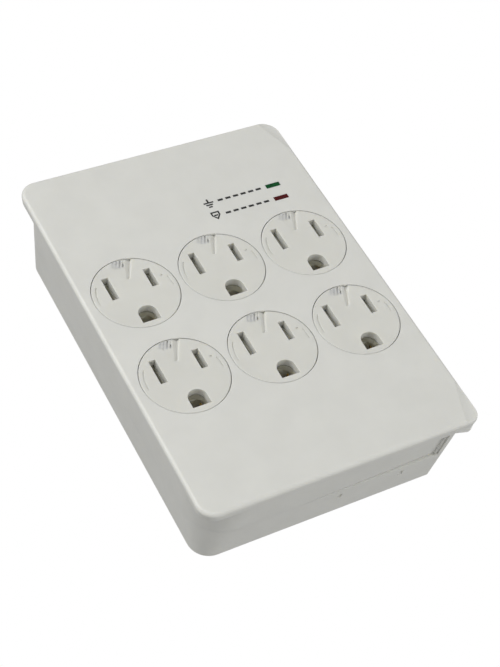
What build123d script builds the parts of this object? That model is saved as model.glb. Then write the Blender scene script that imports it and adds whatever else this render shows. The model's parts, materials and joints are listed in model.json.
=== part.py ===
from build123d import *
import os
from math import cos, radians, sin

# Six-outlet plug-in surge protector, upright as it hangs on a wall socket.
# X runs right and Z up as seen from the front; the face looks towards -Y.
# The origin is on the flat back, at the middle of the plate's width and height.
# "Depth" is the distance behind the face, so y = depth - DEPTH.

# Housing
PLATE_W = 86.6
PLATE_H = 124.8
DEPTH = 29.0
SIDE_INSET = 3.7  # how far the drafted side walls have come in at the back
END_INSET = 4.05  # the same for the top and bottom walls
LIP = 3.2  # edge thickness of the front plate where its corners overhang
PLATE_CORNERS = (5.2, 3.6, 5.3)  # corner radii: both left, lower right and upper right
LIP_CORNERS = (15.3, 2.0, 2.0)  # of the walls just under the plate, before the finger cuts
BACK_CORNERS = (6.2, 2.0, 2.0)  # of the walls at the back, before the finger cuts
FACE_ROUND = 1.1
SPLIT = 15.0  # depth of the joint between the two shells
WALL = 1.8
FACE_T = 2.4
BACK_T = 2.4
ROOT = 0.4  # how far a boss or post sinks into the wall that it stands on
OVERCUT = 1.0  # how far a cutting tool runs past the face that it cuts

# Finger grips at the right-hand corners
DISH_SINK = 0.45
DISH_HALF_W = 3.0
DISH_SIDE = 17.3  # where the dish starts, up the side and along the end from the corner
DISH_END = 5.8
EAR_DROOP = 2.3  # how much thicker the overhanging ears are at their tips
EAR_REACH = 9.6
EAR_RAMP = 4.1
FINGER_CUT_X = 35.0  # where the flat cut under each ear meets the end wall
FINGER_CUT_LEAN = 52.0  # direction the cut faces, measured from the end wall's own

# Bottom wall
RECESS_X0 = -12.0
RECESS_X1 = 32.5
RECESS_DEEP = 0.85
LEDGE = 0.6  # narrow step left between the plate and the sunk area
CORNER_SLOT_X = 33.0
CORNER_SLOT_W = 0.9
CORNER_SLOT_DEEP = 1.35
NOTCH_X = (2.4, 22.4)
NOTCH_DEPTH = 19.0
NOTCH_W = 1.3
NOTCH_H = 2.2
NOTCH_DEEP = 0.4

# Outlets
PITCH_X = 27.4
PITCH_Z = 31.3
GRID_Z = -3.1
DISC_R = 12.69
DISC_GAP = 0.18
DISC_T = 2.6
STEM_R = 2.0
STEM_END = 7.4
NECK_R = 1.7  # groove in the stem that takes the clip
CLIP_NEAR = 6.6
CLIP_FAR = 7.0
CLIP_R = 3.6
WASHER_R = 4.4
RUNNING_GAP = 0.06
SLOT_X = 6.35  # half of the standard 12.7 mm between blades
SLOT_W = 2.07
SLOT_Z = 3.7
NEUTRAL_H = 8.2
HOT_H = 6.75
GROUND_W = 5.6
GROUND_ARC_Z = -8.0
GROUND_FLAT_Z = -10.8

# Thumb grip and marks on each disc
GRIP_RIM_Z = 13.0
GRIP_TIP_Z = 5.2
GRIP_RIM = (-3.5, 2.2, 4.1, 4.7)  # at the rim: left edge, bend, lowest line and right edge
GRIP_TIP = (-0.9, -0.5, 0.3, 0.6)  # the same at the inner tip
GRIP_DEEP = (1.0, 0.45)
GRIP_BEND = 0.16  # depth at the bend, as a share of the lowest line's
GROOVE_DEEP = 0.12
GROOVE_LEAN = -28.0
GROOVE_W = 0.36
GROOVE_PITCH = 1.1
DOT_AT = (9.55, 3.29)
DOT_R = 0.35
DOT_DEEP = 0.25

# Socket bases and contacts
WASHER_NEAR = 3.2
DECK_NEAR = 3.6
DECK_FAR = 5.6
DECK_W = 25.8
DECK_H = 30.8
BOX_FAR = 12.8
BOX_WALL = 0.8
LEAF_NEAR = 6.3
LEAF_T = 0.4
BLADE_T = 1.5
BLADE_GRIP = 1.3  # gap between two unsprung leaves
GROUND_GRIP = 4.6
STRIP_T = 0.8
STRIP_W = 4.0
NEUTRAL_STRIP = 13.3
HOT_STRIP = 15.3
GROUND_STRIP = 17.3
GROUND_CONTACT_Z = -8.4
BUS_TOP = 38.0
JUMPER_Z = 36.0

# Prongs that go into the wall socket (standard 15 A grounded plug)
PLUG_Z = 23.2
GROUND_DROP = 11.9
DUPLEX_PITCH = 38.9
BLADE_OUT = 17.1
GROUND_OUT = 20.6
GROUND_PIN_R = 2.38
PIN_TAIL_R = 1.8  # reduced tail of the ground pin, through the back and into the strip
PIN_RELIEF = 0.12  # shallow ring round the ground pin, where it leaves the back
PIN_RELIEF_DEEP = 0.4
BLADE_HOLE_R = 1.8
BLADE_HOLE_OUT = 11.9
HOT_BLADE_W = 6.35
NEUTRAL_BLADE_W = 7.9

# Circuit board and lights
BOARD_NEAR = 20.8
BOARD_T = 1.6
BOARD_Z0 = 29.0
BOARD_Z1 = 56.0
BOARD_HALF_W = 36.5
LED_X = 29.7
LED_GREEN_Z = 36.5
LED_RED_Z = 31.1
WINDOW_W = 4.8
WINDOW_H = 1.6
LED_R = 1.5

# Fasteners
SCREW_X = 31.5
SCREW_Z = 51.0
BOSS_R = 3.6
COVER_SCREW_R = 1.5
COVER_HEAD_R = 2.9
COVER_HEAD_T = 2.5
HEAD_SINK = 0.5
BOARD_SCREWS = [(-31.0, 33.0), (22.5, 52.0)]
SCREW_NEAR = 8.0
SCREW_ROOM = 2.0
BOARD_POST_R = 2.8
BOARD_SCREW_R = 1.2
BOARD_SCREW_L = 5.0
STAKE_R = 1.1
STAKE_HEAD = 0.8
STAKES = [(-10.9, 13.2), (10.9, -13.2)]

# Blank rating label, sunk into the back
LABEL_W = 40.0
LABEL_H = 20.0
LABEL_R = 1.5
LABEL_GAP = 0.5
LABEL_Z = -45.0
LABEL_SINK = 0.35
LABEL_T = 0.15


def at_depth(depth):
    """Drawing plane parallel to the face, x to the right and y upwards."""
    return Plane(origin=(0, depth - DEPTH, 0), x_dir=(1, 0, 0), z_dir=(0, -1, 0))


def prism(shape, near, far):
    """Push a flat shape straight back from one depth to another."""
    return extrude(at_depth(far) * shape, amount=far - near)


def rod(x, z, radius, near, far):
    return prism(Pos(x, z) * Circle(radius), near, far)


def block(x, z, width, height, near, far):
    return prism(Pos(x, z) * Rectangle(width, height), near, far)


def half_width(depth):
    return PLATE_W / 2 - SIDE_INSET * depth / DEPTH


def half_height(depth):
    return PLATE_H / 2 - END_INSET * depth / DEPTH


def outline(depth, radii, wall=0.0):
    """Cross-section of the housing, with its corner radii."""
    left, lower_right, upper_right = (max(radius - wall, 1.0) for radius in radii)
    shape = Rectangle(2 * (half_width(depth) - wall), 2 * (half_height(depth) - wall))
    shape = fillet(shape.vertices().group_by(Axis.X)[0], left)
    shape = fillet(shape.vertices().group_by(Axis.X)[-1].sort_by(Axis.Y)[0], lower_right)
    return fillet(shape.vertices().group_by(Axis.X)[-1].sort_by(Axis.Y)[-1], upper_right)


def body_corners(depth):
    share = (depth - LIP) / (DEPTH - LIP)
    return [lip + (back - lip) * share for lip, back in zip(LIP_CORNERS, BACK_CORNERS)]


def finger_cut(depth, side, wall):
    """Half-plane that takes off one right-hand corner of the body's cross-section."""
    lean = radians(FINGER_CUT_LEAN)
    reach = PLATE_W
    outward = (sin(lean), side * cos(lean))
    x = FINGER_CUT_X + (reach / 2 - wall) * outward[0]
    y = side * half_height(depth) + (reach / 2 - wall) * outward[1]
    return Pos(x, y) * Rot(0, 0, side * (90 - FINGER_CUT_LEAN)) * Rectangle(reach, reach)


def drafted(near, far, wall=0.0):
    """Stretch of the drafted housing body between two depths."""
    sections = []
    for depth in (near, far):
        shape = outline(depth, body_corners(depth), wall)
        for side in (-1, 1):
            shape -= finger_cut(depth, side, wall)
        sections.append(at_depth(depth) * shape)
    return loft(sections)


def outlet_centres():
    top_row = GRID_Z + PITCH_Z / 2
    return [(column * PITCH_X, top_row - row * PITCH_Z) for row in (0, 1) for column in (-1, 0, 1)]


def ground_hole(grow=0.0):
    half = GROUND_W / 2 + grow
    flat = GROUND_FLAT_Z - grow
    foot = Pos(0, (GROUND_ARC_Z + flat) / 2) * Rectangle(2 * half, GROUND_ARC_Z - flat)
    return Pos(0, GROUND_ARC_Z) * Circle(half) + foot


def blade_slot(x, height, grow=0.0):
    return Pos(x, SLOT_Z) * Rectangle(SLOT_W + 2 * grow, height + 2 * grow)


def slots(near, far, grow=0.0, grow_ground=0.0):
    """The three openings of one outlet, as a tool to cut with."""
    shapes = [ground_hole(grow_ground), blade_slot(-SLOT_X, NEUTRAL_H, grow),
              blade_slot(SLOT_X, HOT_H, grow)]
    return [prism(shape, near, far) for shape in shapes]


def move(solid, x, z):
    return Pos(x, 0, z) * solid


# ---------------------------------------------------------------- housing

def plate():
    """Front plate with soft edges; its small corner radii leave overhanging ears."""
    solid = loft([at_depth(d) * outline(d, PLATE_CORNERS) for d in (0, LIP)])
    front_edges = solid.edges().group_by(Axis.Y)[0]
    return fillet(front_edges, FACE_ROUND)


def corner_dishes():
    """Shallow dishes across the two right-hand corners of the face."""
    hollow_r = DISH_HALF_W**2 / (2 * DISH_SINK)
    length = 3 * DISH_SIDE
    tools = []
    for side in (1, -1):
        start = Vector(PLATE_W / 2, 0, side * (PLATE_H / 2 - DISH_SIDE))
        end = Vector(PLATE_W / 2 - DISH_END, 0, side * PLATE_H / 2)
        run = (end - start).normalized()
        outward = Vector(abs(run.Z), 0, side * abs(run.X))
        centre = (start + end) * 0.5 + outward * DISH_HALF_W
        centre = Vector(centre.X, DISH_SINK - DEPTH - hollow_r, centre.Z)
        tools.append(Plane(origin=centre, z_dir=run) * Cylinder(hollow_r, length))
    return tools


def ear_tips():
    """Underside of the two right-hand ears, which slopes back towards the tips for a finger."""
    far = LIP + EAR_DROOP
    slab = prism(outline(LIP, PLATE_CORNERS), LIP, far)
    tips = []
    for side in (1, -1):
        middle = Vector(PLATE_W / 2 - EAR_REACH / 2, LIP - DEPTH, side * (PLATE_H / 2 - EAR_REACH / 2))
        outward = Vector(1, 0, side).normalized()
        ramp = Polyline((0, -ROOT), (0, 0), (EAR_RAMP, EAR_DROOP), (EAR_REACH, EAR_DROOP),
                        (EAR_REACH, -ROOT), close=True)
        upright = Plane(origin=middle, x_dir=outward, z_dir=outward.cross(Vector(0, 1, 0)))
        tips.append(slab & extrude(upright * make_face(ramp), amount=2 * EAR_REACH, both=True))
    return tips


def wall_cut(x0, x1, deep_left, deep_right):
    """Tool that sinks a stretch of the bottom wall, with its depth from the wall at each end."""
    sections = []
    for depth in (LIP + LEDGE, SPLIT):
        wall = -half_height(depth)
        below = wall - 3 * OVERCUT
        sections.append(at_depth(depth) * make_face(Polyline(
            (x0, wall + deep_left), (x1, wall + deep_right), (x1, below), (x0, below), close=True)))
    return loft(sections)


def wedge_recess():
    """Slightly sunk area on the bottom wall that deepens towards the right-hand end."""
    return wall_cut(RECESS_X0, RECESS_X1, 0, RECESS_DEEP)


def corner_slot():
    """Narrow upright groove in the bottom wall, where the wedge ends at the corner."""
    half = CORNER_SLOT_W / 2
    return wall_cut(CORNER_SLOT_X - half, CORNER_SLOT_X + half, CORNER_SLOT_DEEP, CORNER_SLOT_DEEP)


def front_cover():
    shell = plate() + drafted(LIP, SPLIT) + ear_tips()
    shell -= drafted(FACE_T, SPLIT, WALL)
    root = FACE_T - ROOT
    inside = drafted(root, SPLIT, WALL / 2)
    bosses = [rod(x, z, BOSS_R, root, SPLIT) & inside for x, z in screw_points()]
    for cx, cz in outlet_centres():
        bosses += [rod(cx + x, cz + z, STAKE_R, root, DECK_FAR + STAKE_HEAD) for x, z in STAKES]
    shell = shell + bosses
    through = (-OVERCUT, FACE_T + OVERCUT)
    cuts = [rod(cx, cz, DISC_R + DISC_GAP, *through) for cx, cz in outlet_centres()]
    cuts += [block(LED_X, z, WINDOW_W, WINDOW_H, *through) for z in (LED_GREEN_Z, LED_RED_Z)]
    cuts += [rod(x, z, COVER_SCREW_R, SCREW_NEAR - SCREW_ROOM, SPLIT + OVERCUT) for x, z in screw_points()]
    return shell - cuts - corner_dishes() - wedge_recess() - corner_slot()


def screw_points():
    return [(sx * SCREW_X, sz * SCREW_Z) for sx in (-1, 1) for sz in (-1, 1)]


def pry_notches():
    """Two small pockets low on the bottom wall, where the shells are pried apart."""
    wall = -half_height(NOTCH_DEPTH)
    near, far = NOTCH_DEPTH - NOTCH_H / 2, NOTCH_DEPTH + NOTCH_H / 2
    return [block(x, wall, NOTCH_W, 2 * NOTCH_DEEP, near, far) for x in NOTCH_X]


def stabiliser_pin():
    """Plastic pin that enters the ground hole of the lower wall socket."""
    foot_z = PLUG_Z - GROUND_DROP - DUPLEX_PITCH
    solid = rod(0, foot_z, GROUND_PIN_R, DEPTH - BACK_T, DEPTH + BLADE_OUT)
    return chamfer(solid.edges().group_by(Axis.Y)[-1], 1.0)


def rear_cover():
    floor = DEPTH - BACK_T
    outside = DEPTH + OVERCUT
    shell = drafted(SPLIT, DEPTH) - drafted(SPLIT, floor, WALL)
    inside = drafted(SPLIT, floor + ROOT, WALL / 2)
    towers = [rod(x, z, BOSS_R, SPLIT, floor + ROOT) & inside for x, z in screw_points()]
    towers += [rod(x, z, BOARD_POST_R, BOARD_NEAR + BOARD_T, floor + ROOT) for x, z in BOARD_SCREWS]
    shell = shell + towers + stabiliser_pin()
    cuts = [rod(x, z, COVER_SCREW_R + 0.3, SPLIT - OVERCUT, outside) for x, z in screw_points()]
    cuts += [rod(x, z, COVER_HEAD_R + 0.3, DEPTH - HEAD_SINK - COVER_HEAD_T, outside)
             for x, z in screw_points()]
    cuts += [rod(x, z, BOARD_SCREW_R + 0.05, BOARD_NEAR, floor - 0.2) for x, z in BOARD_SCREWS]
    cuts += [block(-SLOT_X, PLUG_Z, BLADE_T, NEUTRAL_BLADE_W, SPLIT, outside)]
    cuts += [block(SLOT_X, PLUG_Z, BLADE_T, HOT_BLADE_W, SPLIT, outside)]
    pin_z = PLUG_Z - GROUND_DROP
    cuts += [rod(0, pin_z, PIN_TAIL_R, SPLIT, outside),
             rod(0, pin_z, GROUND_PIN_R + PIN_RELIEF, DEPTH - PIN_RELIEF_DEEP, outside)]
    cuts += [label_shape(LABEL_GAP, DEPTH - LABEL_SINK, outside)]
    return shell - cuts - pry_notches()


def label_shape(grow, near, far):
    shape = RectangleRounded(LABEL_W + 2 * grow, LABEL_H + 2 * grow, LABEL_R + grow)
    return prism(Pos(0, LABEL_Z) * shape, near, far)


def rating_label():
    near = DEPTH - LABEL_SINK
    return label_shape(0, near, near + LABEL_T)


# ---------------------------------------------------------------- safety discs

def grip_section(z, places, deep):
    left, bend, lowest, right = places
    depths = ((left, 0), (bend, GRIP_BEND * deep), (lowest, deep), (right, 0))
    return Face(Wire.make_polygon([(x, depth - DEPTH, z) for x, depth in depths]))


def thumb_grip():
    """V-shaped thumb grip: a shallow ribbed ramp, then a steeper one that ends at a short wall."""
    return loft([grip_section(GRIP_RIM_Z, GRIP_RIM, GRIP_DEEP[0]),
                 grip_section(GRIP_TIP_Z, GRIP_TIP, GRIP_DEEP[1])])


def grip_grooves():
    """Fine grooves in the shallow ramp, in line with the grip's wall."""
    deeper = Pos(0, GROOVE_DEEP, 0) * thumb_grip()
    grooves = []
    for step in range(4):
        place = Pos(GROOVE_PITCH * (step - 2), 11.2) * Rot(0, 0, GROOVE_LEAN)
        grooves.append(deeper & prism(place * Rectangle(GROOVE_W, 2.9), -OVERCUT, DISC_T))
    return grooves


def arc_mark(radius, start, size, width=0.36, deep=0.2):
    return prism(SlotArc(CenterArc((0, 0), radius, start, size), width), -OVERCUT, deep)


def safety_disc():
    """Turning disc of one outlet, with its stem through the socket base."""
    rim = chamfer(rod(0, 0, DISC_R, 0, DISC_T).edges().group_by(Axis.Y)[0], 0.18)
    body = rim + rod(0, 0, STEM_R, DISC_T, STEM_END)
    marks = [arc_mark(11.3, 152, 32), arc_mark(11.2, -5, 17)]
    marks.append(rod(*DOT_AT, DOT_R, -OVERCUT, DOT_DEEP))
    body = body - slots(-OVERCUT, DISC_T + OVERCUT) - marks - thumb_grip() - grip_grooves()
    neck = rod(0, 0, STEM_R + OVERCUT, CLIP_NEAR, CLIP_FAR) - rod(0, 0, NECK_R, CLIP_NEAR, CLIP_FAR)
    return body - neck


def disc_clip():
    """Push-on ring that holds the stem from behind."""
    ring = Circle(CLIP_R) - Circle(NECK_R)
    notches = [Rot(0, 0, 120 * k) * Pos(2.6, 0) * Rectangle(1.2, 0.6) for k in range(3)]
    return prism(ring - notches, CLIP_NEAR, CLIP_FAR)


def disc_washers():
    ring = Circle(WASHER_R) - Circle(STEM_R + 0.5)
    return [move(prism(ring, WASHER_NEAR, DECK_NEAR), x, z) for x, z in outlet_centres()]


# ---------------------------------------------------------------- socket bases and contacts

def contact_box(x, z, width, height):
    return Pos(x, z) * (Rectangle(width + 2 * BOX_WALL, height + 2 * BOX_WALL) - Rectangle(width, height))


def socket_base():
    """Fixed base behind one disc: a deck with three openings and a chimney round each contact."""
    deck = block(0, 0, DECK_W, DECK_H, DECK_NEAR, DECK_FAR)
    chimneys = [prism(contact_box(*size), DECK_FAR, BOX_FAR) for size in (
        (-SLOT_X, SLOT_Z, 3.4, 9.6), (SLOT_X, SLOT_Z, 3.4, 8.4), (0, GROUND_CONTACT_Z, 6.8, 6.8))]
    holes = slots(DECK_NEAR - OVERCUT, DECK_FAR + 0.1, 0.15, 0.55)
    through = (DECK_NEAR - OVERCUT, DECK_FAR + OVERCUT)
    holes += [rod(0, 0, STEM_R + RUNNING_GAP, *through)]
    holes += [rod(x, z, STAKE_R, *through) for x, z in STAKES]
    return deck + chimneys - holes


def leaf_pair(x, z, gap, height, strip):
    """Two spring leaves that grip one prong, standing on their strip."""
    offset = (gap + LEAF_T) / 2
    leaves = [block(x + side * offset, z, LEAF_T, height, LEAF_NEAR, strip) for side in (-1, 1)]
    feet = block(x, z, gap + 2 * LEAF_T, height, strip - 0.5, strip)
    return leaves + [feet]


def bus(x_offset, z_offset, gap, height, strip):
    """One brass conductor: a strip for each column, one cross bar, and all six contacts."""
    rows = [GRID_Z + PITCH_Z / 2, GRID_Z - PITCH_Z / 2]
    low = rows[1] + z_offset - height / 2
    pieces = []
    for column in (-1, 0, 1):
        x = column * PITCH_X + x_offset
        high = BUS_TOP if column == -1 else max(rows[0] + z_offset + height / 2, PLUG_Z + 3)
        pieces.append(block(x, (low + high) / 2, STRIP_W, high - low, strip, strip + STRIP_T))
        for row in rows:
            pieces += leaf_pair(x, row + z_offset, gap, height, strip)
    pieces.append(block(x_offset, GRID_Z, 2 * PITCH_X + STRIP_W, STRIP_W, strip, strip + STRIP_T))
    return Part() + pieces


def neutral_bus():
    return bus(-SLOT_X, SLOT_Z, BLADE_GRIP, 7.0, NEUTRAL_STRIP)


def hot_bus():
    return bus(SLOT_X, SLOT_Z, BLADE_GRIP, 5.8, HOT_STRIP)


def ground_bus():
    return bus(0, GROUND_CONTACT_Z, GROUND_GRIP, 4.6, GROUND_STRIP)


def jumper(x, strip):
    """Soldered pin between a strip and the circuit board."""
    return rod(x, JUMPER_Z, 0.7, strip + STRIP_T, BOARD_NEAR)


def jumpers():
    column = -PITCH_X
    return [jumper(column - SLOT_X, NEUTRAL_STRIP), jumper(column + SLOT_X, HOT_STRIP),
            jumper(column, GROUND_STRIP)]


def plug_blade(x, width, strip):
    """Flat prong with a locating hole near its tip."""
    solid = block(x, PLUG_Z, BLADE_T, width, strip + STRIP_T, DEPTH + BLADE_OUT)
    solid = chamfer(solid.edges().group_by(Axis.Y)[-1], 0.45)
    hole = Pos(x, BLADE_HOLE_OUT, PLUG_Z) * Rot(0, 90, 0) * Cylinder(BLADE_HOLE_R, 2 * BLADE_T)
    return solid - hole


def plug_ground_pin():
    z = PLUG_Z - GROUND_DROP
    pin = rod(0, z, GROUND_PIN_R, DEPTH, DEPTH + GROUND_OUT)
    pin = fillet(pin.edges().group_by(Axis.Y)[-1], 1.6)
    return pin + rod(0, z, PIN_TAIL_R, GROUND_STRIP + STRIP_T, DEPTH)


# ---------------------------------------------------------------- board, lights, screws

def circuit_board():
    """Board across the top of the housing, cut away round the two upper screw towers."""
    near, far = BOARD_NEAR - OVERCUT, BOARD_NEAR + BOARD_T + OVERCUT
    board = block(0, (BOARD_Z0 + BOARD_Z1) / 2, 2 * BOARD_HALF_W, BOARD_Z1 - BOARD_Z0, BOARD_NEAR,
                  BOARD_NEAR + BOARD_T)
    inner = SCREW_X - BOSS_R - 1.6
    low = SCREW_Z - BOSS_R - 1.4
    reach = 20.0
    corners = [block(side * (inner + reach / 2), low + reach / 2, reach, reach, near, far)
               for side in (-1, 1)]
    holes = [rod(x, z, BOARD_SCREW_R + 0.2, near, far) for x, z in BOARD_SCREWS]
    return board - corners - holes


def leads(points, near):
    return [rod(x, z, 0.35, near, BOARD_NEAR) for x, z in points]


def varistor(x):
    """Metal-oxide varistor standing on the board: a coated disc on two leads."""
    radius, thick, z = 7.0, 4.6, 41.0
    centre = BOARD_NEAR - 1.5 - radius
    lower_face = Plane(origin=(x, centre - DEPTH, z - thick / 2), z_dir=(0, 0, 1))
    disc = fillet((lower_face * extrude(Circle(radius), thick)).edges(), 1.0)
    return Part() + [disc] + leads([(x - 3.5, z - 0.5), (x + 3.5, z - 0.5)], centre + radius - 2.0)


def along_x(x0, x1, z, radius, depth):
    """Round bar that lies across the board."""
    return Plane(origin=(x0, depth - DEPTH, z), z_dir=(1, 0, 0)) * extrude(Circle(radius), x1 - x0)


def thermal_fuse():
    z, radius, half, lead = 34.5, 1.9, 5.5, 3.0
    centre = BOARD_NEAR - radius - 0.4
    bars = [along_x(-half, half, z, radius, centre), along_x(-half - lead, half + lead, z, 0.4, centre)]
    return Part() + bars + leads([(side * (half + lead - 0.4), z) for side in (-1, 1)], centre)


def filter_capacitor():
    """Box capacitor that stands just clear of the board on two leads."""
    x, z, wide, lead_pitch = 5.0, 51.0, 18.0, 15.0
    body = block(x, z, wide, 6.6, BOARD_NEAR - 12.5, BOARD_NEAR - 0.5)
    body = fillet(body.edges().group_by(Axis.Y)[0], 0.8)
    return Part() + [body] + leads([(x + side * lead_pitch / 2, z) for side in (-1, 1)], BOARD_NEAR - 1.0)


def resistors():
    """Three axial resistors, one above the other, on the left of the board."""
    centre, first_z, pitch, count = BOARD_NEAR - 1.6, 46.5, 3.6, 3
    parts = []
    for k in range(count):
        z = first_z + pitch * k
        body = along_x(-20.0, -13.6, z, 1.2, centre)
        wire = along_x(-22.5, -11.1, z, 0.3, centre)
        parts.append(Part() + [body, wire] + leads([(-22.2, z), (-11.4, z)], centre))
    return parts


def led(z):
    """3 mm light-emitting diode on long leads."""
    near, far = 5.4, 9.4
    body = rod(LED_X, z, LED_R, near, far)
    dome = Pos(LED_X, near - DEPTH, z) * Sphere(LED_R)
    flange = rod(LED_X, z, LED_R + 0.3, far - 0.8, far)
    return Part() + [body, dome, flange] + leads([(LED_X - 1.0, z), (LED_X + 1.0, z)], far - 0.4)


def led_holder():
    """Black block that keeps the light of one lamp out of the other window."""
    mid = (LED_GREEN_Z + LED_RED_Z) / 2
    near, far = 3.4, 8.4
    body = prism(Pos(LED_X, mid) * RectangleRounded(8.2, 11.6, 1.0), near, far)
    bores = [rod(LED_X, z, LED_R + 0.15, near - OVERCUT, far + OVERCUT) for z in (LED_GREEN_Z, LED_RED_Z)]
    return body - bores


def lens(z):
    """Window lens, just short of the face, with a flange behind the plate."""
    fit, flange_w, flange_t = 0.1, 1.8, 0.8
    bar = block(LED_X, z, WINDOW_W - fit, WINDOW_H - fit, fit / 2, FACE_T)
    flange = block(LED_X, z, WINDOW_W + flange_w, WINDOW_H + flange_w, FACE_T, FACE_T + flange_t)
    return bar + flange


def cross_drive(x, z, span, slot_w, near, far):
    """Cross-shaped tool for the drive of a screw head."""
    return [prism(Pos(x, z) * Rot(0, 0, turn) * Rectangle(span, slot_w), near, far) for turn in (0, 90)]


def cover_screw(x, z):
    """Long screw from the back through both shells, sunk below the back."""
    head_far = DEPTH - HEAD_SINK
    head_near = head_far - COVER_HEAD_T
    head = rod(x, z, COVER_HEAD_R, head_near, head_far)
    head = chamfer(head.edges().group_by(Axis.Y)[-1], 0.5)
    shank = rod(x, z, COVER_SCREW_R, SCREW_NEAR, head_near)
    return head + shank - cross_drive(x, z, 3.4, 0.7, head_far - 1.2, DEPTH)


def board_screw(x, z):
    head = rod(x, z, 2 * BOARD_SCREW_R, BOARD_NEAR - 1.5, BOARD_NEAR)
    head = chamfer(head.edges().group_by(Axis.Y)[0], 0.5)
    shank = rod(x, z, BOARD_SCREW_R, BOARD_NEAR, BOARD_NEAR + BOARD_SCREW_L)
    return head + shank - cross_drive(x, z, 2.8, 0.6, BOARD_NEAR - 2, BOARD_NEAR - 0.8)


def nodes():
    parts = {
        "front_cover": front_cover(),
        "rear_cover": rear_cover(),
        "rating_label": rating_label(),
        "cover_screws": [cover_screw(x, z) for x, z in screw_points()],
        "neutral_bus": neutral_bus(),
        "hot_bus": hot_bus(),
        "ground_bus": ground_bus(),
        "board_jumpers": jumpers(),
        "plug_neutral_blade": plug_blade(-SLOT_X, NEUTRAL_BLADE_W, NEUTRAL_STRIP),
        "plug_hot_blade": plug_blade(SLOT_X, HOT_BLADE_W, HOT_STRIP),
        "plug_ground_pin": plug_ground_pin(),
        "circuit_board": circuit_board(),
        "board_screws": [board_screw(x, z) for x, z in BOARD_SCREWS],
        "thermal_fuse": thermal_fuse(),
        "filter_capacitor": filter_capacitor(),
        "resistors": resistors(),
        "led_green": led(LED_GREEN_Z),
        "led_red": led(LED_RED_Z),
        "led_holder": led_holder(),
        "green_lens": lens(LED_GREEN_Z),
        "red_lens": lens(LED_RED_Z),
        "disc_washers": disc_washers(),
    }
    for number, x in enumerate((-15.5, 0.0, 15.5), 1):
        parts[f"varistor_{number}"] = varistor(x)
    disc, clip, base = safety_disc(), disc_clip(), socket_base()
    for number, (x, z) in enumerate(outlet_centres(), 1):
        parts[f"safety_disc_{number}"] = move(disc, x, z)
        parts[f"disc_clip_{number}"] = move(clip, x, z)
        parts[f"socket_base_{number}"] = move(base, x, z)
    return parts


def main():
    os.makedirs("parts", exist_ok=True)
    for name, shape in nodes().items():
        solid = Compound(children=list(shape)) if isinstance(shape, list) else shape
        export_step(solid, f"parts/{name}.step")


main()
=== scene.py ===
import json
from math import cos, radians, sin

import bmesh
import bpy
from mathutils import Matrix, Vector


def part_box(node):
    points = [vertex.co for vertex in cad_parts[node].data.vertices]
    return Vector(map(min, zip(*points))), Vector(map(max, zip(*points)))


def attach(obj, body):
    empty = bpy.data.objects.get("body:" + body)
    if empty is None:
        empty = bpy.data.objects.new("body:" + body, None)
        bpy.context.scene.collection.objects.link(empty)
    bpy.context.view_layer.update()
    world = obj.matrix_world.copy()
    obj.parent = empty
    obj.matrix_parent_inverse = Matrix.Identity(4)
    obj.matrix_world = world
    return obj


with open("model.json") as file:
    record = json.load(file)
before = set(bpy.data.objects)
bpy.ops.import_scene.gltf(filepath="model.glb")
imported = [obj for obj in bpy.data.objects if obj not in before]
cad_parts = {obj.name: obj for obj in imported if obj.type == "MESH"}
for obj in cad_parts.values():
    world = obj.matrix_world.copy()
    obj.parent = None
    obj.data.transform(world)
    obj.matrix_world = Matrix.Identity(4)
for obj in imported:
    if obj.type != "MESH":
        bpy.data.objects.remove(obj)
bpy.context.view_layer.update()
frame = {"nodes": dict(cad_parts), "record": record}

MM = 0.001
HOUSING = "housing"


# ---------------------------------------------------------------- places taken from the frame

def middle(node):
    low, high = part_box(node)
    return (low + high) / 2


FACE_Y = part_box("front_cover")[0].y
GREEN = middle("green_lens")
RED = middle("red_lens")


def placed(name, data):
    """New object of the scene that shows the given data."""
    thing = bpy.data.objects.new(name, data)
    bpy.context.scene.collection.objects.link(thing)
    return thing


# ---------------------------------------------------------------- materials

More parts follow.
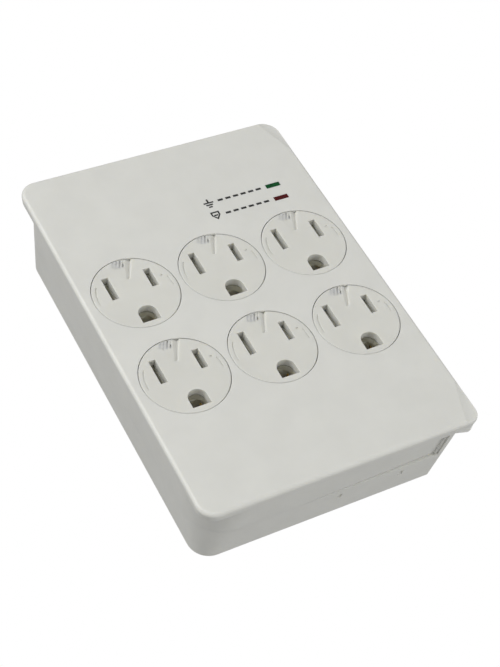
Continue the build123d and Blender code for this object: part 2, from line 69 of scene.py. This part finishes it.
class Recipe:
    """One node-based material, built a few nodes at a time."""

    def __init__(self, name):
        self.material = bpy.data.materials.new(name)
        self.material.use_nodes = True
        self.tree = self.material.node_tree
        self.shader = self.tree.nodes["Principled BSDF"]
        self.place = self.add("ShaderNodeTexCoord").outputs["Object"]

    def add(self, kind, **sockets):
        node = self.tree.nodes.new(kind)
        for label, value in sockets.items():
            self.feed(node.inputs[label.replace("_", " ")], value)
        return node

    def feed(self, socket, value):
        if isinstance(value, bpy.types.NodeSocket):
            self.tree.links.new(value, socket)
        else:
            socket.default_value = value

    def noise(self, size, detail=3.0, roughness=0.55):
        """Noise whose features are about size metres across, from 0 to 1."""
        node = self.add("ShaderNodeTexNoise", Vector=self.place, Scale=1 / size, Detail=detail,
                        Roughness=roughness)
        return node.outputs["Fac"]

    def spread(self, value, low, high, start=0.3, end=0.7):
        """Stretch a value that runs from start to end so that it runs from low to high."""
        node = self.add("ShaderNodeMapRange", Value=value)
        for label, number in (("From Min", start), ("From Max", end), ("To Min", low), ("To Max", high)):
            node.inputs[label].default_value = number
        return node.outputs["Result"]

    def mix(self, amount, one, other):
        """Blend of two colours, from one at 0 to the other at 1."""
        node = self.tree.nodes.new("ShaderNodeMix")
        node.data_type = "RGBA"
        for socket, value in zip((node.inputs[0], node.inputs[6], node.inputs[7]), (amount, one, other)):
            self.feed(socket, value)
        return node.outputs[2]

    def edges(self, radius):
        """0 on flat areas, rising towards 1 on sharp edges; also gives the rounded normal."""
        bevel = self.tree.nodes.new("ShaderNodeBevel")
        bevel.samples = 4
        bevel.inputs["Radius"].default_value = radius
        flat = self.add("ShaderNodeNewGeometry").outputs["True Normal"]
        dot = self.tree.nodes.new("ShaderNodeVectorMath")
        dot.operation = "DOT_PRODUCT"
        self.feed(dot.inputs[0], bevel.outputs[0])
        self.feed(dot.inputs[1], flat)
        return self.spread(dot.outputs["Value"], 1.0, 0.0, 0.80, 0.995), bevel.outputs[0]

    def bump(self, height, depth, normal=None):
        node = self.add("ShaderNodeBump", Height=height, Distance=depth)
        if normal is not None:
            self.feed(node.inputs["Normal"], normal)
        return node.outputs["Normal"]

    def finish(self, **sockets):
        for label, value in sockets.items():
            self.feed(self.shader.inputs[label.replace("_", " ")], value)
        return self.material


def shade(colour, factor):
    """The colour made lighter or darker, with its alpha."""
    return tuple(min(1.0, c * factor) for c in colour) + (1.0,)


GLOW_REACH = 1.6 * MM
GLOW_TINT = (1.0, 0.95, 0.8)


def moulded(name, colour, rough, grain, depth, edge_highlight_tone=1.06, mottle=0.02, glow=0.0):
    """Injection-moulded plastic: fine spark texture, faint flow mottling, softened edges and a painted
    highlight that lightens the sharp edges.

    The glow is the share of light that spreads under the surface, as it does in pale plastic.
    """
    r = Recipe(name)
    edge_highlight, rounded = r.edges(0.12 * MM)
    flow = r.noise(9 * MM, 2.0)
    colour_node = r.mix(r.spread(flow, 0, 1), shade(colour, 1 - mottle), shade(colour, 1 + mottle))
    # painted highlight: the colour is lightened along sharp edges, as if they catch the light
    colour_node = r.mix(r.spread(edge_highlight, 0, 0.6, 0, 1), colour_node, shade(colour, edge_highlight_tone))
    fine = r.noise(grain, 4.0, 0.6)
    normal = r.bump(fine, depth, rounded)
    normal = r.bump(r.noise(7 * MM, 1.0), 4 * depth, normal)
    roughness = r.spread(r.noise(3 * MM), rough - 0.04, rough + 0.05)
    return r.finish(Base_Color=colour_node, Roughness=roughness, Normal=normal, IOR=1.5,
                    Subsurface_Weight=glow, Subsurface_Radius=GLOW_TINT, Subsurface_Scale=GLOW_REACH)


def metal(name, colour, rough, brushed=True, tarnish=0.25):
    """Stamped or drawn metal: fine draw lines, uneven tarnish and a painted highlight that brightens the
    sharp edges.
    """
    r = Recipe(name)
    edge_highlight, rounded = r.edges(0.15 * MM)
    lines = r.add("ShaderNodeMapping", Vector=r.place)
    lines.inputs["Scale"].default_value = (1.0, 0.06, 1.0) if brushed else (1.0, 1.0, 1.0)
    streaks = r.add("ShaderNodeTexNoise", Vector=lines.outputs[0], Scale=1 / (0.12 * MM), Detail=3.0)
    stain = r.spread(r.noise(2.2 * MM), 0, tarnish)
    colour_node = r.mix(stain, shade(colour, 1.0), shade(colour, 0.55))
    # painted highlight: the colour is brightened along sharp edges, as if they catch the light
    colour_node = r.mix(r.spread(edge_highlight, 0, 0.5, 0, 1), colour_node, shade(colour, 1.25))
    normal = r.bump(streaks.outputs["Fac"], 0.006 * MM, rounded)
    roughness = r.spread(streaks.outputs["Fac"], rough - 0.06, rough + 0.10)
    return r.finish(Base_Color=colour_node, Roughness=roughness, Normal=normal, Metallic=1.0)


def tinted_lens(name, colour):
    """Unlit tinted window or lamp: dark, glossy, with a faint moulded prism pattern."""
    r = Recipe(name)
    wave = r.add("ShaderNodeTexWave", Vector=r.place, Scale=1 / (1.1 * MM), Distortion=0.3, Detail=1.0)
    cloudy = r.spread(r.noise(0.9 * MM), 0, 1)
    colour_node = r.mix(cloudy, shade(colour, 0.7), shade(colour, 1.5))
    normal = r.bump(wave.outputs["Fac"], 0.01 * MM, r.edges(0.1 * MM)[1])
    return r.finish(Base_Color=colour_node, Roughness=0.25, Normal=normal, IOR=1.49,
                    Specular_IOR_Level=0.2)


def laminate(name, colour):
    """Circuit board: green mask over a faint woven glass cloth, with copper tracks under it."""
    r = Recipe(name)
    weave = r.add("ShaderNodeTexBrick", Vector=r.place, Scale=1 / (1.6 * MM))
    weave.inputs["Mortar Size"].default_value = 0.12
    tracks = r.add("ShaderNodeTexVoronoi", Vector=r.place, Scale=1 / (5 * MM))
    lit = r.spread(tracks.outputs["Distance"], 0, 0.5, 0.1, 0.6)
    colour_node = r.mix(lit, shade(colour, 0.75), shade(colour, 1.25))
    normal = r.bump(weave.outputs["Fac"], 0.01 * MM)
    return r.finish(Base_Color=colour_node, Roughness=0.32, Normal=normal, Coat_Weight=0.5)


def film(name, colour):
    """Blank metallised label with a fine brushed look."""
    r = Recipe(name)
    lines = r.add("ShaderNodeMapping", Vector=r.place)
    lines.inputs["Scale"].default_value = (0.04, 1.0, 1.0)
    streaks = r.add("ShaderNodeTexNoise", Vector=lines.outputs[0], Scale=1 / (0.15 * MM), Detail=2.0)
    colour_node = r.mix(r.spread(streaks.outputs["Fac"], 0, 1), shade(colour, 0.9), shade(colour, 1.06))
    normal = r.bump(streaks.outputs["Fac"], 0.004 * MM)
    return r.finish(Base_Color=colour_node, Roughness=0.38, Normal=normal, Metallic=0.75)


def ink(name):
    """Pad-printed dark ink, slightly uneven."""
    r = Recipe(name)
    patchy = r.spread(r.noise(0.25 * MM), 0, 1)
    colour_node = r.mix(patchy, (0.012, 0.012, 0.012, 1), (0.035, 0.035, 0.034, 1))
    return r.finish(Base_Color=colour_node, Roughness=0.55, Normal=r.bump(patchy, 0.003 * MM))


WARM_WHITE = (0.655, 0.655, 0.618)
DISC_WHITE = (0.650, 0.648, 0.604)
CREAM = (0.84, 0.83, 0.70)


def materials():
    """One material for each slot of the record."""
    return {
        "cover_plastic": moulded("cover_plastic", WARM_WHITE, 0.46, 0.35 * MM, 0.006 * MM, glow=0.3),
        # painted highlight: the disc rims are lightened more than the cover's edges
        "disc_plastic": moulded("disc_plastic", DISC_WHITE, 0.36, 0.5 * MM, 0.003 * MM,
                                edge_highlight_tone=1.1, glow=0.6),
        "socket_plastic": moulded("socket_plastic", CREAM, 0.5, 0.4 * MM, 0.006 * MM, glow=0.6),
        "black_plastic": moulded("black_plastic", (0.018, 0.018, 0.018), 0.5, 0.3 * MM, 0.006 * MM,
                                 mottle=0.2),
        "capacitor_case": moulded("capacitor_case", (0.60, 0.34, 0.03), 0.42, 0.4 * MM, 0.004 * MM),
        "varistor_epoxy": moulded("varistor_epoxy", (0.02, 0.07, 0.30), 0.35, 0.9 * MM, 0.03 * MM,
                                  mottle=0.1),
        "fuse_case": moulded("fuse_case", (0.62, 0.60, 0.52), 0.4, 0.5 * MM, 0.01 * MM, mottle=0.05),
        "resistor_epoxy": moulded("resistor_epoxy", (0.46, 0.32, 0.17), 0.35, 0.6 * MM, 0.015 * MM,
                                  mottle=0.08),
        "spring_steel": metal("spring_steel", (0.50, 0.50, 0.48), 0.34),
        "screw_steel": metal("screw_steel", (0.46, 0.47, 0.48), 0.36, brushed=False, tarnish=0.35),
        "contact_brass": metal("contact_brass", (0.66, 0.45, 0.16), 0.32),
        "prong_brass": metal("prong_brass", (0.74, 0.55, 0.25), 0.27),
        "board_laminate": laminate("board_laminate", (0.02, 0.12, 0.045)),
        "green_led_epoxy": tinted_lens("green_led_epoxy", (0.02, 0.20, 0.04)),
        "red_led_epoxy": tinted_lens("red_led_epoxy", (0.32, 0.015, 0.012)),
        "green_lens": tinted_lens("green_lens", (0.004, 0.058, 0.016)),
        "red_lens": tinted_lens("red_lens", (0.062, 0.006, 0.007)),
        "label_film": film("label_film", (0.48, 0.49, 0.50)),
    }


def dress_frame(finishes):
    """Give every CAD node the material of its slot in the record."""
    for part in frame["record"]["subparts"]:
        node = frame["nodes"][part["node"]]
        node.data.materials.clear()
        node.data.materials.append(finishes[part["material_slot"]])


# ---------------------------------------------------------------- printed marks

INK_THICK = 0.02 * MM
MARK_X = 7.6 * MM
DASHES_FROM = 11.6 * MM
DASHES_TO = 24.6 * MM
DASH_COUNT = 6
DASH_FILL = 0.66  # share of each step that the dash covers
DASH_HIGH = 0.75 * MM
LINE = 0.5 * MM


def stamp(name, outlines, material):
    """Thin ink film on the face, from closed outlines of (x, z) points."""
    mesh = bpy.data.meshes.new(name)
    form = bmesh.new()
    for points in outlines:
        back = [form.verts.new((x, FACE_Y, z)) for x, z in points]
        front = [form.verts.new((x, FACE_Y - INK_THICK, z)) for x, z in points]
        form.faces.new(front)
        form.faces.new(back[::-1])
        for k in range(len(points)):
            n = (k + 1) % len(points)
            form.faces.new((back[k], back[n], front[n], front[k]))
    bmesh.ops.recalc_face_normals(form, faces=form.faces)
    form.to_mesh(mesh)
    form.free()
    piece = placed(name, mesh)
    mesh.materials.append(material)
    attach(piece, HOUSING)


def bar(x, z, width, height):
    """Outline of an upright rectangle, from its middle."""
    return [(x - width / 2, z - height / 2), (x + width / 2, z - height / 2),
            (x + width / 2, z + height / 2), (x - width / 2, z + height / 2)]


def dashes(z):
    """Row of short dashes that leads from a mark to its light."""
    step = (DASHES_TO - DASHES_FROM) / (DASH_COUNT - 1)
    return [bar(DASHES_FROM + k * step, z, DASH_FILL * step, DASH_HIGH) for k in range(DASH_COUNT)]


def earth_mark(z):
    """Earth symbol: a stem over three shrinking bars."""
    gap, widest = 0.85 * MM, 3.2 * MM
    bars = [bar(MARK_X, z + gap, 0.55 * MM, 1.3 * MM)]
    bars += [bar(MARK_X, z - k * gap, widest - k * MM, LINE) for k in range(3)]
    return bars


def shield_mark(z):
    """Plain shield outline, drawn as two mirrored strips, with a bar across."""
    half, tall = 1.4 * MM, 1.6 * MM
    shoulder = 0.1 * tall
    outer = [(0, tall), (half, tall), (half, shoulder), (0, -tall)]
    inner = [(0, -tall + 1.5 * LINE), (half - LINE, shoulder), (half - LINE, tall - LINE),
             (0, tall - LINE)]
    strips = [[(MARK_X + side * px, z + pz) for px, pz in outer + inner] for side in (-1, 1)]
    return strips + [bar(MARK_X, z + 0.15 * MM, 1.3 * MM, LINE)]


def printed_marks():
    black = ink("marking_ink")
    stamp("grounded_mark", earth_mark(GREEN.z) + dashes(GREEN.z), black)
    stamp("protected_mark", shield_mark(RED.z) + dashes(RED.z), black)


# ---------------------------------------------------------------- studio

CAMERA_AT = Vector((-170.33, -355.7, -227.2)) * MM
CAMERA_AIM = Vector((-3.93, -29.0, -12.4)) * MM
CAMERA_ROLL = radians(32.25)
PIXELS_HIGH = 667
FOCAL_PIXELS = 1522.0
SENSOR = 36.0  # millimetres

AMBIENT = 0.32
SOFTBOXES = (  # name, place in metres, watts, side in metres
    ("upper_left_light", (-0.70, -0.75, 0.50), 8.3, 0.7),
    ("lower_right_light", (0.465, -0.315, -0.495), 1.45, 0.35),
    ("front_light", (-0.4, -1.05, -0.15), 2.3, 0.8),
    ("back_light", (0.95, 0.62, 0.10), 2.0, 0.5),
)
FLOOR_SIDE = 6.0
FLOOR_DROP = 0.75


def turned_view(at, aim, roll):
    """Camera matrix that looks from one point to another, leaning right by the roll angle."""
    forward = (aim - at).normalized()
    level_right = forward.cross(Vector((0, 0, 1))).normalized()
    level_up = level_right.cross(forward)
    up = level_up * cos(roll) + level_right * sin(roll)
    right = forward.cross(up)
    turn = Matrix((right, up, -forward)).transposed()
    return Matrix.Translation(at) @ turn.to_4x4()


def camera():
    """Camera at the photograph's viewing angle."""
    lens = bpy.data.cameras.new("camera")
    lens.sensor_width = SENSOR
    lens.lens = FOCAL_PIXELS * SENSOR / PIXELS_HIGH
    lens.clip_start = 0.01
    eye = placed("camera", lens)
    eye.matrix_world = turned_view(CAMERA_AT, CAMERA_AIM, CAMERA_ROLL)
    bpy.context.scene.camera = eye


def softbox(name, place, power, size):
    """Square white light that faces the object."""
    light = bpy.data.lights.new(name, "AREA")
    light.energy = power
    light.size = size
    lamp = placed(name, light)
    lamp.matrix_world = turned_view(Vector(place), Vector((0, 0, 0)), 0)


def backdrop_world(ambient):
    """Even studio light, with a plain white background behind the object."""
    world = bpy.data.worlds.new("studio")
    world.use_nodes = True
    tree = world.node_tree
    tree.nodes.clear()
    out = tree.nodes.new("ShaderNodeOutputWorld")
    blend = tree.nodes.new("ShaderNodeMixShader")
    seen = tree.nodes.new("ShaderNodeLightPath")
    for index, strength in ((1, ambient), (2, 1.0)):
        light = tree.nodes.new("ShaderNodeBackground")
        light.inputs["Color"].default_value = (1, 1, 1, 1)
        light.inputs["Strength"].default_value = strength
        tree.links.new(light.outputs[0], blend.inputs[index])
    tree.links.new(seen.outputs["Is Camera Ray"], blend.inputs[0])
    tree.links.new(blend.outputs[0], out.inputs[0])
    bpy.context.scene.world = world


def floor():
    """Plain pale floor, well below the hanging object."""
    mesh = bpy.data.meshes.new("floor")
    form = bmesh.new()
    bmesh.ops.create_grid(form, x_segments=8, y_segments=8, size=FLOOR_SIDE / 2)
    form.to_mesh(mesh)
    form.free()
    ground = placed("floor", mesh)
    ground.location = (0, 0, -FLOOR_DROP)
    r = Recipe("floor_paint")
    tone = r.mix(r.spread(r.noise(0.25), 0, 1), (0.86, 0.86, 0.86, 1), (0.9, 0.9, 0.9, 1))
    mesh.materials.append(r.finish(Base_Color=tone, Roughness=0.8))


def studio():
    backdrop_world(AMBIENT)
    for light in SOFTBOXES:
        softbox(*light)
    floor()
    bpy.context.scene.view_settings.view_transform = "Standard"


camera()
dress_frame(materials())
printed_marks()
studio()
